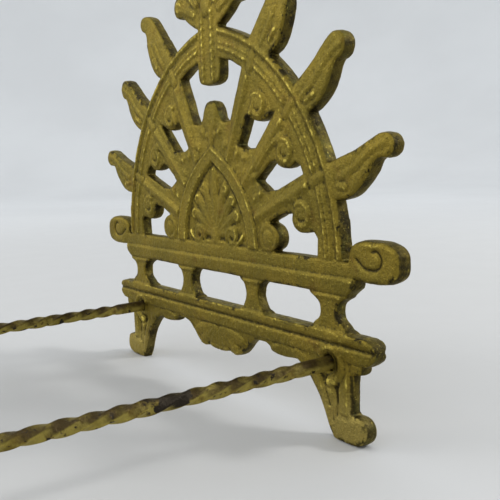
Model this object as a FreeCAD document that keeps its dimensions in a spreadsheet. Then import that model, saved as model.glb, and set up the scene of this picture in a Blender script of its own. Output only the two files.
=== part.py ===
import FreeCAD, Part
import math
import os

# An ornamental rack for plates. Two pierced castings stand facing each other, and two twisted
# square rods hold them apart. X runs across the castings, Y along the rods and Z up, in
# millimetres. The origin is on the floor, midway between the castings.

SIZES = {
    # the castings
    "span": 240.0,  # between their inner faces
    "web": 4.2,  # plain thickness
    "relief": 0.6,  # how far a moulding stands proud of each face
    "foot_inner": 57.8,
    "foot_outer": 65.2,
    "rail_width": 150.4,  # lower rail
    "rail_low": 22.5,
    "rail_high": 30.0,
    "ledge_width": 134.0,  # upper rail, lower moulding
    "ledge_low": 40.2,
    "sill_width": 136.0,  # upper rail, upper moulding
    "sill_low": 45.0,
    "sill_high": 49.5,
    "volute_x": 74.7,
    "volute_z": 50.3,
    "volute_half_width": 9.3,
    "volute_half_rise": 5.6,
    "inner_post_x": 20.1,
    "outer_post_x": 56.7,
    "arch_shift": 9.45,  # each side's centre lies past the middle, so the arch is pointed
    "arch_z": 48.0,
    "arch_outer": 72.9,
    "arch_inner": 63.0,
    "rib_width": 1.9,
    "spoke_width": 8.4,
    "lower_spoke_width": 7.4,
    "curl_radius": 4.6,
    "ball_radius": 4.8,
    "stem_width": 12.0,
    "stem_low": 101.5,
    "crest_z": 121.0,
    "crest_rise": 30.5,
    # the rods and what holds them
    "rod_x": 56.7,
    "rod_z": 21.0,
    "rod_side": 3.2,  # across the flats of the square bar
    "rod_turn": 26.5,  # length of one full twist
    "shank": 4.0,  # round end of the bar
    "shank_length": 10.0,  # of it that shows
    "seat_bore": 5.0,  # counterbore that the shank seats in
    "seat_depth": 1.6,  # below the casting's plain face
    "boss": 9.4,
    "stud": 2.5,  # threaded end
    "stud_bore": 3.0,
    "stud_tail": 0.8,  # beyond the nut
    "washer_outer": 6.6,
    "washer_inner": 2.9,
    "washer_thick": 0.6,
    "nut_flats": 5.0,
    "nut_bore": 2.6,
    "nut_thick": 2.0,
}
WEB = "sizes.web"
MOULDED = "(sizes.web + 2 * sizes.relief)"
OUTER_FACE = "(sizes.span / 2 + sizes.web + sizes.relief)"  # of a rod's boss
STUD_END = f"({OUTER_FACE} + sizes.washer_thick + sizes.nut_thick + sizes.stud_tail)"
UPRIGHT = FreeCAD.Placement(FreeCAD.Vector(), FreeCAD.Rotation(FreeCAD.Vector(1, 0, 0), 90))
DEPTHWISE = FreeCAD.Vector(0, -1, 0)

doc = FreeCAD.newDocument("plate_rack")
sheet = doc.addObject("Spreadsheet::Sheet", "sizes")
for row, (alias, number) in enumerate(SIZES.items(), 1):
    sheet.set(f"A{row}", alias)
    sheet.set(f"B{row}", str(number))
    sheet.setAlias(f"B{row}", alias)
doc.recompute()


def size(alias):
    """The number in one of the sheet's cells."""
    return float(sheet.get(alias))


def bind(thing, **formulas):
    """Binds properties to formulas. Placement_Base_x stands for Placement.Base.x."""
    for name, formula in formulas.items():
        thing.setExpression(name.replace("_", "."), formula)
    return thing


def block(name, width, low, high, depth):
    """A slab centred on X and Y, between two heights."""
    slab = doc.addObject("Part::Box", name)
    return bind(
        slab,
        Length=width,
        Width=depth,
        Height=f"{high} - {low}",
        Placement_Base_x=f"-{width} / 2",
        Placement_Base_y=f"-{depth} / 2",
        Placement_Base_z=low,
    )


def disc(name, x, z, radius, depth):
    """A round boss through the casting, with its axis along Y."""
    boss = doc.addObject("Part::Cylinder", name)
    boss.Placement = UPRIGHT
    return bind(
        boss,
        Radius=radius,
        Height=depth,
        Placement_Base_x=x,
        Placement_Base_y=f"{depth} / 2",
        Placement_Base_z=z,
    )


def spoke(name, x, z, angle, length, width, depth):
    """A straight bar that starts around (x, z) and climbs at an angle in degrees."""
    rise = math.radians(angle)
    half = size(width) / 2
    corner = FreeCAD.Vector(x + half * math.sin(rise), 0, z - half * math.cos(rise))
    bar = doc.addObject("Part::Box", name)
    bar.Length = length
    bar.Placement = FreeCAD.Placement(corner, FreeCAD.Rotation(DEPTHWISE, angle))
    return bind(bar, Width=depth, Height=f"sizes.{width}", Placement_Base_y=f"-{depth} / 2")


def spot(x, z):
    return FreeCAD.Vector(x, z, 0)


def trace(*stops):
    """The closed outline through the stops. A stop of two points is an arc, by one to the other."""
    edges = []
    here = stops[0]
    for stop in stops[1:]:
        if isinstance(stop[0], tuple):
            by, there = stop
            edges.append(Part.Arc(spot(*here), spot(*by), spot(*there)))
        else:
            there = stop
            edges.append(Part.LineSegment(spot(*here), spot(*there)))
        here = there
    if here != stops[0]:
        edges.append(Part.LineSegment(spot(*here), spot(*stops[0])))
    return edges


def plate(name, edges, depth):
    """A flat piece with this outline in X and Z, centred on Y."""
    outline = doc.addObject("Sketcher::SketchObject", f"{name}_outline")
    outline.Placement = UPRIGHT
    outline.addGeometry(edges, False)
    solid = doc.addObject("Part::Extrusion", name)
    solid.Base = outline
    solid.DirMode = "Normal"
    solid.Solid = True
    solid.Symmetric = True
    return bind(solid, LengthFwd=depth)


def petal(name, x, z, angle, length, width, depth):
    """An oval that starts at (x, z) and points at an angle in degrees."""
    lean = math.radians(angle)
    along = spot(math.cos(lean), math.sin(lean))
    across = spot(-math.sin(lean), math.cos(lean))
    middle = spot(x, z) + along * (length / 2)
    oval = Part.Ellipse(middle + along * (length / 2), middle + across * (width / 2), middle)
    return plate(name, [oval], depth)


def join(name, pieces):
    whole = doc.addObject("Part::MultiFuse", name)
    whole.Shapes = pieces
    whole.Refine = True
    return whole


def cut(name, base, tool):
    rest = doc.addObject("Part::Cut", name)
    rest.Base = base
    rest.Tool = tool
    return rest


def mirror(name, source, normal):
    twin = doc.addObject("Part::Mirroring", name)
    twin.Source = source
    twin.Normal = normal
    return twin


def arch(name, outer, inner, depth):
    """A pointed arch between two radii. Its sides' centres lie past the middle."""
    shift = size("arch_shift")
    foot = size("arch_z")

    def side(radius, sign):
        peak = math.sqrt(radius**2 - shift**2)
        lean = math.atan2(peak, shift) / 2
        by = (sign * (radius * math.cos(lean) - shift), foot + radius * math.sin(lean))
        return (sign * (radius - shift), foot), by, (0, foot + peak)

    right, right_by, top = side(outer, 1)
    left, left_by, _ = side(outer, -1)
    right_in, right_in_by, top_in = side(inner, 1)
    left_in, left_in_by, _ = side(inner, -1)
    edges = trace(
        right, (right_by, top), (left_by, left), left_in, (left_in_by, top_in), (right_in_by, right_in)
    )
    return plate(name, edges, depth)


def leg():
    """The right leg with its foot, toe and curved inner edge, up into the lower rail."""
    inner = size("foot_inner")
    outer = size("foot_outer")
    edges = trace(
        (inner, 0),
        (outer, 0),
        ((69.1, 1.45), (71.1, 4.6)),
        ((70.7, 7.3), (68.4, 7.9)),
        (65.7, 7.8),
        (65.7, 19.5),
        (69.8, 19.5),
        (69.8, 24),
        (42, 24),
        (42, 19.2),
        ((52, 10.7), (inner, 0)),
    )
    return plate("leg", edges, WEB)


def apron():
    """The scalloped board under the middle of the lower rail."""
    edges = trace(
        (-43, 24),
        (-43, 19),
        ((-35.5, 18.3), (-29.2, 19)),
        ((-25, 21.1), (-19.5, 20.1)),
        ((-13.6, 15.3), (-6, 13.8)),
        ((0, 14.3), (6, 13.8)),
        ((13.6, 15.3), (19.5, 20.1)),
        ((25, 21.1), (29.2, 19)),
        ((35.5, 18.3), (43, 19)),
        (43, 24),
    )
    return plate("apron", edges, WEB)


def post(name, x, waist, flare):
    """A short baluster between the rails, waisted like an hourglass."""
    low = size("rail_high") - 1
    high = size("ledge_low") + 1
    middle = (low + high) / 2
    edges = trace(
        (x - flare, low),
        (x + flare, low),
        ((x + waist, middle), (x + flare, high)),
        (x - flare, high),
        ((x - waist, middle), (x - flare, low)),
    )
    return plate(name, edges, WEB)


def volute():
    """The scrolled right end of the upper rail."""
    middle = spot(size("volute_x"), size("volute_z"))
    oval = Part.Ellipse(middle, size("volute_half_width"), size("volute_half_rise"))
    return plate("volute", [oval], MOULDED)


def leaf(name, x, z, angle):
    """A bud-shaped leaf outside the arch: straight above, bellied below, with a knob at its tip."""
    lean = math.radians(angle)

    def at(along, across):
        run = along * math.cos(lean) - across * math.sin(lean)
        return x + run, z + along * math.sin(lean) + across * math.cos(lean)

    edges = trace(
        at(-3, 4.6),
        at(-3, -5.2),
        (at(5, -6.5), at(12.8, -3.4)),
        (at(15.4, -1.6), at(18.6, -0.6)),
        (at(25.1, -1), at(22.4, 3.3)),
        (at(13, 4.4), at(-3, 4.6)),
    )
    return plate(name, edges, WEB)


def niche():
    """The gabled plate in the middle of the arch, with a pointed moulding and a palmette on it."""
    back = trace(
        (-28, 48),
        (28, 48),
        (27.8, 66),
        (22.5, 77),
        (14, 84.5),
        (7, 90),
        ((4.6, 95.4), (0, 96.4)),
        ((-4.6, 95.4), (-7, 90)),
        (-14, 84.5),
        (-22.5, 77),
        (-27.8, 66),
    )
    hood = trace(
        (24.7, 48),
        ((19, 67), (0, 81)),
        ((-19, 67), (-24.7, 48)),
        (-19.2, 48),
        ((-14, 63.5), (0, 76)),
        ((14, 63.5), (19.2, 48)),
    )
    fronds = [petal(f"frond_{turn}", 0, 52, turn, 17, 5, MOULDED) for turn in (20, 55, 90, 125, 160)]
    return [plate("niche_back", back, WEB), plate("niche_hood", hood, MOULDED)] + fronds


def crest():
    """The stem across the arch and the fan of lobes above it."""
    stem = block("stem", "sizes.stem_width", "sizes.stem_low", "(sizes.crest_z + 4)", WEB)
    fan = []
    foot = size("crest_z")
    rise = size("crest_rise")
    for turn, reach in ((90, 1), (66, 0.94), (44, 0.82), (22, 0.73)):
        for lean in sorted({turn, 180 - turn}):
            fan.append(petal(f"crest_lobe_{lean}", 0, foot, lean, rise * reach, 9, WEB))
    return [stem] + fan


def right_half():
    """Everything that the casting has once on each side, as it stands on the right."""
    pieces = [leg(), volute()]
    pieces.append(post("inner_post", size("inner_post_x"), 3.2, 6.6))
    pieces.append(post("outer_post", size("outer_post_x"), 3.4, 7.8))
    pieces.append(leaf("lower_leaf", 60, 71, 24))
    pieces.append(leaf("middle_leaf", 45.5, 93.5, 31.5))
    pieces.append(leaf("upper_leaf", 27.5, 110, 45))
    pieces.append(spoke("lower_spoke", 22, 59.5, 22, 32, "lower_spoke_width", WEB))
    pieces.append(spoke("middle_spoke", 17, 68.5, 42, 35, "spoke_width", WEB))
    pieces.append(spoke("upper_spoke", 9.5, 77, 63.5, 32, "spoke_width", WEB))
    pieces.append(disc("lower_curl", "46.2", "60.6", "sizes.curl_radius", MOULDED))
    pieces.append(disc("middle_curl", "39", "79", "sizes.curl_radius", MOULDED))
    pieces.append(disc("upper_curl", "26.5", "92.7", "sizes.curl_radius", MOULDED))
    pieces.append(disc("ball", "30.4", "53.5", "sizes.ball_radius", MOULDED))
    pieces.append(disc("rod_boss", "sizes.rod_x", "sizes.rod_z", "sizes.boss / 2", MOULDED))
    return join("right_half", pieces)


def rod_hole():
    """The stepped hole for the right rod: a wide seat on the inner face, then the stud's bore."""
    through = disc("stud_hole", "sizes.rod_x", "sizes.rod_z", "sizes.stud_bore / 2", "(3 * sizes.web)")
    seat = disc("seat", "sizes.rod_x", "sizes.rod_z", "sizes.seat_bore / 2", "(2 * sizes.seat_depth)")
    bind(seat, Placement_Base_y="sizes.seat_depth - sizes.web / 2")
    return join("right_hole", [through, seat])


def rear_end_panel():
    """The casting at +Y, made around its own middle plane."""
    rib = size("rib_width")
    side = right_half()
    hole = rod_hole()
    across = FreeCAD.Vector(1, 0, 0)
    pieces = [
        side,
        mirror("left_half", side, across),
        apron(),
        block("lower_rail", "sizes.rail_width", "sizes.rail_low", "sizes.rail_high", MOULDED),
        block("ledge", "sizes.ledge_width", "sizes.ledge_low", "sizes.sill_low", WEB),
        block("sill", "sizes.sill_width", "sizes.sill_low", "sizes.sill_high", MOULDED),
        arch("arch_band", size("arch_outer"), size("arch_inner"), WEB),
        arch("outer_rib", size("arch_outer") - 1, size("arch_outer") - 1 - rib, MOULDED),
        arch("inner_rib", size("arch_inner") + 1 + rib, size("arch_inner") + 1, MOULDED),
    ]
    whole = join("casting", pieces + niche() + crest())
    holes = join("rod_holes", [hole, mirror("left_hole", hole, across)])
    panel = cut("rear_end_panel", whole, holes)
    return bind(panel, Placement_Base_y="(sizes.span + sizes.web) / 2")


def twisted_bar(name):
    """A square bar twisted about Y, between the two shanks."""
    half = size("rod_side") / 2
    length = size("span") - 2 * size("shank_length")
    spine = Part.Wire([Part.makeLine(FreeCAD.Vector(), FreeCAD.Vector(0, 0, length))])
    guide = Part.makeHelix(size("rod_turn"), length, size("rod_side"))
    corners = ((1, 1), (-1, 1), (-1, -1), (1, -1), (1, 1))
    square = Part.makePolygon([FreeCAD.Vector(half * a, half * b, 0) for a, b in corners])
    sweep = Part.BRepOffsetAPI.MakePipeShell(spine)
    sweep.setAuxiliarySpine(Part.Wire(guide.Edges), True, 0)
    sweep.add(square)
    sweep.build()
    sweep.makeSolid()
    bar = doc.addObject("Part::Feature", name)
    bar.Shape = sweep.shape()
    bar.Placement = FreeCAD.Placement(FreeCAD.Vector(0, length / 2, 0), UPRIGHT.Rotation)
    return bar


def round_bar(name, radius, start, end):
    """A round length along the rod's axis, between two places in Y."""
    length = doc.addObject("Part::Cylinder", name)
    length.Placement = UPRIGHT
    return bind(length, Radius=radius, Height=f"{end} - {start}", Placement_Base_y=end)


def rod(name, sign):
    """A whole rod: the twisted bar, a round shank at each end and a stud right through."""
    seat = "(sizes.span / 2 + sizes.seat_depth)"
    neck = "(sizes.span / 2 - sizes.shank_length)"
    pieces = [
        twisted_bar(f"{name}_twist"),
        round_bar(f"{name}_rear_shank", "sizes.shank / 2", neck, seat),
        round_bar(f"{name}_front_shank", "sizes.shank / 2", f"-{seat}", f"-{neck}"),
        round_bar(f"{name}_studs", "sizes.stud / 2", f"-{STUD_END}", STUD_END),
    ]
    whole = join(name, pieces)
    return bind(whole, Placement_Base_x=f"{sign} * sizes.rod_x", Placement_Base_z="sizes.rod_z")


def ring(name, body, bore, thick, start):
    """A body with a bore along Y, set against a panel from a place in Y outwards."""
    body.Placement = UPRIGHT
    bind(body, Height=thick)
    drill = doc.addObject("Part::Cylinder", f"{name}_bore")
    drill.Placement = UPRIGHT
    bind(drill, Radius=f"{bore} / 2", Height=thick)
    whole = cut(name, body, drill)
    return bind(whole, Placement_Base_y=f"{start} + {thick}", Placement_Base_z="sizes.rod_z")


def washer(name):
    blank = doc.addObject("Part::Cylinder", f"{name}_blank")
    bind(blank, Radius="sizes.washer_outer / 2")
    return ring(name, blank, "sizes.washer_inner", "sizes.washer_thick", OUTER_FACE)


def nut(name):
    blank = doc.addObject("Part::Prism", f"{name}_blank")
    blank.Polygon = 6
    bind(blank, Circumradius="sizes.nut_flats / 2 / cos(30)")
    return ring(name, blank, "sizes.nut_bore", "sizes.nut_thick", f"({OUTER_FACE} + sizes.washer_thick)")


def front_copy(name, source):
    """The same piece at the front end, mirrored front to back."""
    return mirror(name, source, FreeCAD.Vector(0, 1, 0))


rear = rear_end_panel()
parts = [rear, front_copy("front_end_panel", rear)]
for hand, sign in (("left", -1), ("right", 1)):
    parts.append(rod(f"{hand}_rod", sign))
    for make, kind in ((washer, "washer"), (nut, "nut")):
        at_rear = bind(make(f"rear_{hand}_{kind}"), Placement_Base_x=f"{sign} * sizes.rod_x")
        parts += [at_rear, front_copy(f"front_{hand}_{kind}", at_rear)]
doc.recompute()

for thing in doc.Objects:
    if "Invalid" in thing.State or "Error" in thing.State:
        raise RuntimeError(f"{thing.Name} failed: {thing.State}")
for part in parts:
    if part.Shape.isNull() or not part.Shape.isValid() or len(part.Shape.Solids) != 1:
        raise RuntimeError(f"{part.Name} isn't one valid solid")

os.makedirs("parts", exist_ok=True)
for part in parts:
    part.Label = part.Name
    part.Shape.exportStep(f"parts/{part.Label}.step")
    box = part.Shape.BoundBox
    print(part.Label, round(part.Shape.Volume), box)
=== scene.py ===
import math

import bpy
import numpy as np
from mathutils import Matrix, Vector


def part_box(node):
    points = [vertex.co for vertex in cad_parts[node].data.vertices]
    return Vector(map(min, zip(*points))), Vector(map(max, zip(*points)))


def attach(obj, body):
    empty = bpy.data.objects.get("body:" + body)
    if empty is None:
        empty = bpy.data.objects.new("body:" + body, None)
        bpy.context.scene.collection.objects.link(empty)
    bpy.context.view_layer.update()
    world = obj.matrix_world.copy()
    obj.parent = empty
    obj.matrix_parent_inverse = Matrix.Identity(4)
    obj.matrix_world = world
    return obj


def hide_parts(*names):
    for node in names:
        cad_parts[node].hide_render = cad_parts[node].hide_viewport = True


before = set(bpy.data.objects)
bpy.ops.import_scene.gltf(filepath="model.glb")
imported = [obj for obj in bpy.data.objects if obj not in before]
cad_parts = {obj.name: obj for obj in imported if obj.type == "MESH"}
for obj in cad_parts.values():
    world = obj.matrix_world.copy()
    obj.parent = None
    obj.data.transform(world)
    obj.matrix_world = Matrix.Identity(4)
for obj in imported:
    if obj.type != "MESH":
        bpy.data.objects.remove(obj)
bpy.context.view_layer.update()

bpy.context.scene.view_settings.view_transform = "Standard"

# ---- sizes, from the frame ----

PANEL_LOW, PANEL_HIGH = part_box("rear_end_panel")
UNIT = (PANEL_HIGH[0] - PANEL_LOW[0]) / 112  # the castings are drawn in these, 112 wide
PANEL_Y = (PANEL_LOW[1] + PANEL_HIGH[1]) / 2  # the middle plane of the rear casting
HALF_MOST = (PANEL_HIGH[1] - PANEL_LOW[1]) / 2 / UNIT  # half of the greatest thickness
HALF_PLAIN = 1.3  # half of the plain thickness, before relief
ROD_LOW, ROD_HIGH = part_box("right_rod")
ROD_X = (ROD_LOW[0] + ROD_HIGH[0]) / 2
ROD_Z = (ROD_LOW[2] + ROD_HIGH[2]) / 2
WASHER_LOW, WASHER_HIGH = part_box("rear_right_washer")
NUT_LOW, NUT_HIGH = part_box("rear_right_nut")

# ---- drawing in the casting's plane ----
# The casting is symmetrical, so it is drawn for x >= 0 only, on a grid, as distances in units:
# negative inside. Relief is a height in units that is added to both faces.

GRID = 0.25
GRID_Y = 0.35  # through the thickness
half_x = np.arange(0, 57.6, GRID)
grid_z = np.arange(-1.2, 102.6, GRID)
PX, PZ = np.meshgrid(half_x, grid_z, indexing="ij")


def disc(x, z, radius):
    """Distance to a disc."""
    return np.hypot(PX - x, PZ - z) - radius


def oval(x, z, half_width, half_rise, lean=0):
    """Roughly the distance to an ellipse whose width leans by an angle in degrees."""
    turn = math.radians(lean)
    along = (PX - x) * math.cos(turn) + (PZ - z) * math.sin(turn)
    across = (PZ - z) * math.cos(turn) - (PX - x) * math.sin(turn)
    return (np.hypot(along / half_width, across / half_rise) - 1) * min(half_width, half_rise)


def pad(x, z, half_width, half_rise):
    """Roughly the distance to an oval with blunt ends."""
    blunt = 2.7
    across, up = np.abs((PX - x) / half_width), np.abs((PZ - z) / half_rise)
    bulge = (across**blunt + up**blunt) ** (1 / blunt)
    return (bulge - 1) * min(half_width, half_rise)


def slab(x0, x1, z0, z1, corner=0.0):
    """Distance to an upright rectangle with rounded corners."""
    out_x = np.maximum(x0 + corner - PX, PX - x1 + corner)
    out_z = np.maximum(z0 + corner - PZ, PZ - z1 + corner)
    outside = np.hypot(np.maximum(out_x, 0), np.maximum(out_z, 0))
    return outside + np.minimum(np.maximum(out_x, out_z), 0) - corner


def smooth(points, closed=False, steps=5):
    """Points on a smooth curve through these ones (Catmull-Rom)."""
    ring = [np.array(p, float) for p in points]
    count = len(ring)
    spans = count if closed else count - 1
    curve = []
    for i in range(spans):
        around = [(i + k) % count if closed else min(max(i + k, 0), count - 1) for k in (-1, 0, 1, 2)]
        p0, p1, p2, p3 = (ring[j] for j in around)
        for t in np.arange(steps) / steps:
            bend = (2 * p0 - 5 * p1 + 4 * p2 - p3) * t**2 + (3 * p1 - p0 - 3 * p2 + p3) * t**3
            curve.append(tuple(p1 + (p2 - p0) * t / 2 + bend / 2))
    if not closed:
        curve.append(tuple(ring[-1]))
    return curve


def spiral(x, z, outer, inner, start, turns, steps=26):
    """Points from radius outer to radius inner round (x, z). start is in degrees."""
    curve = []
    for t in np.linspace(0, 1, int(steps * abs(turns)) + 1):
        angle = math.radians(start + 360 * turns * t)
        radius = outer + (inner - outer) * t
        curve.append((x + radius * math.cos(angle), z + radius * math.sin(angle)))
    return curve


def on_ray(start, lean, reach):
    """The point that lies a distance from start, at an angle in degrees."""
    turn = math.radians(lean)
    return start[0] + reach * math.cos(turn), start[1] + reach * math.sin(turn)


def near(points):
    """Distance to a line through the points."""
    best = np.full(PX.shape, 1e3)
    for (x0, z0), (x1, z1) in zip(points, points[1:]):
        run, rise = x1 - x0, z1 - z0
        reach = run * run + rise * rise + 1e-9
        t = np.clip(((PX - x0) * run + (PZ - z0) * rise) / reach, 0, 1)
        best = np.minimum(best, np.hypot(PX - x0 - t * run, PZ - z0 - t * rise))
    return best


def inside_of(points):
    """Signed distance to a closed outline, negative inside."""
    ring = list(points) + [points[0]]
    within = np.zeros(PX.shape, bool)
    for (x0, z0), (x1, z1) in zip(ring, ring[1:]):
        if z0 != z1:
            spans = (z0 > PZ) != (z1 > PZ)
            within ^= spans & (PX < x0 + (PZ - z0) * (x1 - x0) / (z1 - z0))
    gap = near(ring)
    return np.where(within, -gap, gap)


def across_middle(points):
    """Carries an outline that starts and ends at x = 0 past it, so that no edge lies along it."""
    return [(-8, points[0][1])] + list(points) + [(-8, points[-1][1])]


def melt(a, b, soft):
    """The union of two shapes with a fillet where they meet."""
    mix = np.clip(0.5 + 0.5 * (b - a) / soft, 0, 1)
    return b + (a - b) * mix - soft * mix * (1 - mix)


def bead(gap, width, height):
    """A half-round moulding along a line, from the distance to it."""
    return height * np.sqrt(np.maximum(0, 1 - (gap / width) ** 2))


def raised(shape, height, slope):
    """A plateau over a shape, with sloping sides inside its outline."""
    t = np.clip(-shape / slope, 0, 1)
    return height * t * t * (3 - 2 * t)


def groove(gap, width, depth):
    """A rounded cut along a line, from the distance to it."""
    return -depth * np.exp(-((gap / width) ** 2))


def blur(picture, sigma):
    """A Gaussian blur of a grid. sigma is in cells."""
    reach = int(3 * sigma)
    weights = np.exp(-0.5 * (np.arange(-reach, reach + 1) / sigma) ** 2)
    weights /= weights.sum()
    for _ in range(2):  # along x, then along z
        padded = np.pad(picture, ((reach, reach), (0, 0)), mode="edge")
        picture = sum(w * padded[i : i + len(picture)] for i, w in enumerate(weights)).T
    return picture


# ---- the casting's outline ----

ARCH_Z = 32.0
ARCH_SHIFT = 6.3  # the right side's centre lies this far left of the middle
ARCH_OUTER = 48.4
ARCH_INNER = 42.0
arch_radius = np.hypot(PX + ARCH_SHIFT, PZ - ARCH_Z)

LOWER_LEAF = [
    (37, 44.2), (40.5, 43.7), (43, 44.0), (45.2, 44.8), (47.5, 46.6), (49.3, 48.6), (50.4, 50.4),
    (51.7, 50.9), (53.2, 50.9), (54.6, 51.8), (54.9, 53.4), (53.8, 54.8), (51.8, 55.0), (49.3, 54.0),
    (46, 52.6), (43, 51.7), (39.5, 50.6), (36, 49.6),
]
MIDDLE_LEAF = [
    (29, 59), (32, 59.3), (34, 59.6), (36, 60.6), (38, 62.2), (39.5, 64.3), (40.5, 66.5),
    (41.3, 67.7), (42.1, 67.9), (43.2, 68.7), (43.8, 70.3), (43.3, 71.9), (41.9, 72.7), (40.1, 72.5),
    (38.0, 71.0), (35.5, 68.9), (32.7, 66.9), (29.5, 64.8), (27, 63),
]
UPPER_LEAF = [
    (19, 70), (22, 71.1), (23.8, 71.9), (25.5, 73.4), (27, 76), (28, 79), (28.4, 81.7),
    (29.0, 82.6), (30.4, 83.3), (31.2, 84.8), (30.6, 86.2), (29, 86.6), (26.6, 86.2), (24.6, 85.0),
    (22.5, 82.8), (20, 80), (17.5, 77.2), (15.2, 74.8), (14, 72),
]
SPOKES = (
    (10.2, 59.0, 63.5, 2.8, 9, 16),
    (19.1, 52.7, 42.0, 2.8, 10, 15),
    (24.5, 43.0, 22.0, 2.5, 9, 15),
)  # a point on the centre line, its angle, half width, and its reach back and forward
CURLS = ((17.7, 61.8, 3.1), (26.0, 52.6, 3.1), (30.9, 40.5, 3.2))  # middle and radius
BALL = (20.3, 35.7)
VOLUTE = (49.8, 33.5, 6.2, 3.7)  # middle, half width and half height
ROD_HOLE = (ROD_X / UNIT, ROD_Z / UNIT)


def stand():
    """Leg, foot, apron and lower rail."""
    outline = [(0, 20)] + smooth([(47.4, 20.0), (49.2, 19.5), (50.1, 18.0), (49.8, 16.4), (48.2, 15.2)])
    outline += [(46.6, 14.8), (46.2, 13.3), (44.0, 12.7), (43.8, 6.0)]
    toe = [(43.9, 5.4), (45.6, 5.45), (47.0, 4.9), (47.6, 3.6), (47.3, 1.9), (46.2, 0.6), (44.4, 0)]
    outline += smooth(toe)
    outline += smooth([(38.5, 0), (36.3, 4), (35, 6.4), (33.4, 8.7), (31, 11.1), (28.3, 12.7)])
    outline += smooth([(27, 12.6), (24.5, 12.3), (22, 12.4), (19.9, 12.8), (19.1, 13.7), (17.6, 14.2)])
    outline += smooth([(15.2, 14.1), (13.1, 13.5), (11.3, 12.2), (9.8, 10.8), (8.1, 9.6), (6.3, 9.1)])
    outline += smooth([(4.6, 9.5), (3.7, 9.7), (2.4, 9.25), (0.8, 9.2), (0, 9.3)])
    return inside_of(across_middle(outline))


def baluster(x, waist, flare):
    """A short post between the rails, with a small step at each end."""
    low, high = 19.5, 27.2
    side = [(flare + 0.3, low), (flare + 0.2, 20.4), (flare - 0.5, 20.7), (flare - 0.9, 21.2)]
    side += [(waist + 0.35, 22.3), (waist, 23.6), (waist + 0.35, 24.9)]
    side += [(flare - 1.0, 25.9), (flare - 0.4, 26.2), (flare + 0.1, 26.5), (flare + 0.3, high)]
    side = side[:2] + smooth(side[2:9], steps=3) + side[9:]
    outline = [(x + dx, z) for dx, z in side] + [(x - dx, z) for dx, z in reversed(side)]
    return inside_of(outline)


def upper_rail():
    """Two mouldings, the lower one cut back at its ends, and the volute."""
    end = [(0, 26.8), (43.0, 26.8), (43.9, 27.6), (44.9, 28.3), (45.2, 29.0), (45.2, 30.6), (0, 30.6)]
    lower = inside_of(across_middle(end))
    upper = slab(-8, 49, 30, 33.1)
    return np.minimum(lower, melt(upper, pad(*VOLUTE), 0.5))


def arch_band():
    """The pointed arch, down to the rail."""
    return np.maximum(np.maximum(arch_radius - ARCH_OUTER, ARCH_INNER - arch_radius), 31 - PZ)


def arch_filling():
    """All that the arch encloses. The windows are cut from it."""
    return np.maximum(arch_radius - ARCH_INNER - 1, 31 - PZ)


def windows():
    """The openings between the spokes, the niche and the arch."""
    top = smooth([(0, 64.2), (1.6, 63.8), (2.7, 62.4), (3.4, 60.7), (4.3, 59.8)])
    top += [(5.5, 59.4), (7.5, 59.7), (12.4, 69.8), (8.5, 71.6), (4.5, 72.6)]
    top += smooth([(4.5, 71), (4.3, 69.2), (3.6, 68.1), (2.0, 67.6), (0, 67.5)])
    high = [(10.4, 54.4), (12.2, 53.6), (16.4, 53.6), (23.2, 60.4)]
    high += smooth([(21.6, 59.9), (20, 59.1), (18, 58.7), (16, 59.1), (14.9, 60.0), (13.6, 60.0)])
    middle = [(16.4, 47.1), (19.8, 45.0), (23, 45.3), (31.4, 48.4), (30.6, 49.9)]
    middle += smooth([(29.2, 50.6), (27.6, 49.6), (25.8, 49.4), (24, 49.9), (22.8, 50.8), (21.2, 50.6)])
    low = smooth([(20.5, 38.9), (22.3, 38.2), (23.5, 36.8), (23.6, 35.2), (22.8, 33.9), (21.4, 33.15)])
    low += [(34.9, 33.2), (35.2, 36.6)]
    low += smooth([(34.2, 37.7), (32.4, 37.5), (30.4, 37.35), (28.6, 38.2), (27.8, 39.6), (28, 40.9)])
    low += [(24.5, 40.6)]
    return [inside_of(across_middle(top))] + [inside_of(points) for points in (high, middle, low)]


CREST_LOBES = (
    (90, 19.8, 2.9), (66, 18.6, 2.7), (44, 16.6, 2.6), (22, 14.8, 2.4),
)  # angle, reach from the crest's foot, half width
CREST_FOOT = 81.0


def crest():
    """A stem across the arch, and a fan of lobes on it."""
    stem = slab(-5, 4.0, 69, 82, 0.3)
    base = [(0, 79), (4.2, 79.7), (6.2, 80.6), (8.6, 82.0), (10.6, 83.8), (11.5, 86), (9, 89), (0, 92)]
    whole = melt(stem, inside_of(across_middle(smooth(base))), 0.6)
    for lean, reach, width in CREST_LOBES:
        tip = on_ray((0, CREST_FOOT), lean, reach - width)
        neck = near([(0, CREST_FOOT + 2), tip])
        whole = melt(whole, melt(disc(*tip, width), neck - 0.85 * width, 1.0), 0.5)
    return whole


def leaf_shape(outline):
    """Distance to a leaf."""
    return inside_of(smooth(outline, closed=True, steps=4))


def casting_outline():
    """Distance to the whole casting, seen from the front."""
    body = stand()
    for shape in (
        baluster(13.4, 2.1, 4.0),
        baluster(37.8, 2.3, 5.0),
        upper_rail(),
        arch_band(),
        arch_filling(),
        *(leaf_shape(outline) for outline in (LOWER_LEAF, MIDDLE_LEAF, UPPER_LEAF)),
        crest(),
    ):
        body = melt(body, shape, 0.35)
    for opening in windows():
        body = -melt(-body, opening, 0.4)
    return body


# ---- the casting's relief ----

HOOD_OUTER = [
    (16.4, 32), (16.1, 36), (15.2, 39.5), (13.6, 42.8), (11.4, 46), (8.6, 48.9), (5, 51.6), (0, 54.6),
]
HOOD_INNER = [(12.9, 32), (12.6, 35.5), (11.8, 38.8), (10.2, 42.0), (7.8, 45.2), (4.6, 48.2), (0, 51.2)]
NICHE_FOOT = (0, 35.0)
PALMETTE = (
    (90, 15.0, 1.75), (70, 12.6, 1.35), (51, 11.8, 1.3), (31, 10.6, 1.2), (12, 7.5, 1.0),
)  # each petal's angle, reach and half width


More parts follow.
